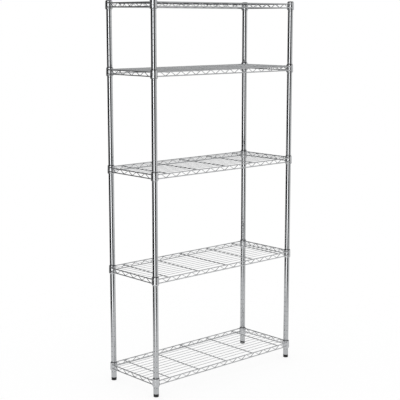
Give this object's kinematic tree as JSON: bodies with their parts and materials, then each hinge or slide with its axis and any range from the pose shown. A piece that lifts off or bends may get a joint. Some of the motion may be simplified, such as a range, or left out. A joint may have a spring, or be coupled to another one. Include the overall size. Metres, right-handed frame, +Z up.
{
  "type": "wire shelving rack",
  "caption": "Tall open rack of welded chrome wire shelves that wedge on tapered split sleeves along grooved round posts with screw feet.",
  "frame": {"origin": "centre of the footprint, on the floor under the feet", "axes": "+X along the shelves, -Y the front, +Z up"},
  "size_m": [0.9144, 0.3556, 1.8201],
  "materials": {
    "chrome_wire": "bright plated wire",
    "chrome_collar": "bright plated, slightly satin",
    "chrome_post": "bright plated tube",
    "zinc_fitting": "zinc plated",
    "sleeve_plastic": "matte black",
    "cap_plastic": "matte black",
    "foot_plastic": "satin black"
  },
  "bodies": {
    "root": {"sleeves_1": "sleeve_plastic", "sleeves_2": "sleeve_plastic", "sleeves_3": "sleeve_plastic", "sleeves_4": "sleeve_plastic", "sleeves_5": "sleeve_plastic", "post_lower_front_left": "chrome_post", "post_lower_front_right": "chrome_post", "post_lower_back_right": "chrome_post", "post_lower_back_left": "chrome_post", "post_upper_front_left": "chrome_post", "post_upper_front_right": "chrome_post", "post_upper_back_right": "chrome_post", "post_upper_back_left": "chrome_post", "post_joint_studs": "zinc_fitting", "post_joint_nuts": "zinc_fitting", "post_caps": "cap_plastic", "foot_nuts": "zinc_fitting"},
    "shelf_1": {"shelf_1_collars": "chrome_collar", "shelf_1_top_rails": "chrome_wire", "shelf_1_bottom_rails": "chrome_wire", "shelf_1_truss_wires": "chrome_wire", "shelf_1_deck_wires": "chrome_wire", "shelf_1_cross_supports": "chrome_wire"},
    "shelf_2": {"shelf_2_collars": "chrome_collar", "shelf_2_top_rails": "chrome_wire", "shelf_2_bottom_rails": "chrome_wire", "shelf_2_truss_wires": "chrome_wire", "shelf_2_deck_wires": "chrome_wire", "shelf_2_cross_supports": "chrome_wire"},
    "shelf_3": {"shelf_3_collars": "chrome_collar", "shelf_3_top_rails": "chrome_wire", "shelf_3_bottom_rails": "chrome_wire", "shelf_3_truss_wires": "chrome_wire", "shelf_3_deck_wires": "chrome_wire", "shelf_3_cross_supports": "chrome_wire"},
    "shelf_4": {"shelf_4_collars": "chrome_collar", "shelf_4_top_rails": "chrome_wire", "shelf_4_bottom_rails": "chrome_wire", "shelf_4_truss_wires": "chrome_wire", "shelf_4_deck_wires": "chrome_wire", "shelf_4_cross_supports": "chrome_wire"},
    "shelf_5": {"shelf_5_collars": "chrome_collar", "shelf_5_top_rails": "chrome_wire", "shelf_5_bottom_rails": "chrome_wire", "shelf_5_truss_wires": "chrome_wire", "shelf_5_deck_wires": "chrome_wire", "shelf_5_cross_supports": "chrome_wire"},
    "foot_stud_front_left": {"foot_stud_front_left": "zinc_fitting"},
    "foot_pad_front_left": {"foot_pad_front_left": "foot_plastic"},
    "foot_stud_front_right": {"foot_stud_front_right": "zinc_fitting"},
    "foot_pad_front_right": {"foot_pad_front_right": "foot_plastic"},
    "foot_stud_back_right": {"foot_stud_back_right": "zinc_fitting"},
    "foot_pad_back_right": {"foot_pad_back_right": "foot_plastic"},
    "foot_stud_back_left": {"foot_stud_back_left": "zinc_fitting"},
    "foot_pad_back_left": {"foot_pad_back_left": "foot_plastic"}
  },
  "joints": [
    {"name": "shelf_1_lift", "type": "slide", "parent": "root", "child": "shelf_1", "axis": [0, 0, 1], "range_m": [0, 0.43]},
    {"name": "shelf_2_lift", "type": "slide", "parent": "root", "child": "shelf_2", "axis": [0, 0, 1], "range_m": [0, 0.43]},
    {"name": "shelf_3_lift", "type": "slide", "parent": "root", "child": "shelf_3", "axis": [0, 0, 1], "range_m": [0, 0.4]},
    {"name": "shelf_4_lift", "type": "slide", "parent": "root", "child": "shelf_4", "axis": [0, 0, 1], "range_m": [0, 0.25]},
    {"name": "shelf_5_lift", "type": "slide", "parent": "root", "child": "shelf_5", "axis": [0, 0, 1], "range_m": [0, 0.06]},
    {"name": "foot_front_left_travel", "type": "slide", "parent": "root", "child": "foot_stud_front_left", "axis": [0, 0, -1], "range_m": [0, 0.0127]},
    {"name": "foot_front_left_turn", "type": "hinge", "parent": "foot_stud_front_left", "child": "foot_pad_front_left", "pos_m": [-0.4392, -0.1598, 0], "axis": [0, 0, -1], "range_deg": [0, 2880]},
    {"name": "foot_front_right_travel", "type": "slide", "parent": "root", "child": "foot_stud_front_right", "axis": [0, 0, -1], "range_m": [0, 0.0127]},
    {"name": "foot_front_right_turn", "type": "hinge", "parent": "foot_stud_front_right", "child": "foot_pad_front_right", "pos_m": [0.4392, -0.1598, 0], "axis": [0, 0, -1], "range_deg": [0, 2880]},
    {"name": "foot_back_right_travel", "type": "slide", "parent": "root", "child": "foot_stud_back_right", "axis": [0, 0, -1], "range_m": [0, 0.0127]},
    {"name": "foot_back_right_turn", "type": "hinge", "parent": "foot_stud_back_right", "child": "foot_pad_back_right", "pos_m": [0.4392, 0.1598, 0], "axis": [0, 0, -1], "range_deg": [0, 2880]},
    {"name": "foot_back_left_travel", "type": "slide", "parent": "root", "child": "foot_stud_back_left", "axis": [0, 0, -1], "range_m": [0, 0.0127]},
    {"name": "foot_back_left_turn", "type": "hinge", "parent": "foot_stud_back_left", "child": "foot_pad_back_left", "pos_m": [-0.4392, 0.1598, 0], "axis": [0, 0, -1], "range_deg": [0, 2880]}
  ],
  "couplings": [
    {"joint": "foot_front_left_turn", "follows": "foot_front_left_travel", "rad_per_m": 3957.9},
    {"joint": "foot_front_right_turn", "follows": "foot_front_right_travel", "rad_per_m": 3957.9},
    {"joint": "foot_back_right_turn", "follows": "foot_back_right_travel", "rad_per_m": 3957.9},
    {"joint": "foot_back_left_turn", "follows": "foot_back_left_travel", "rad_per_m": 3957.9}
  ]
}
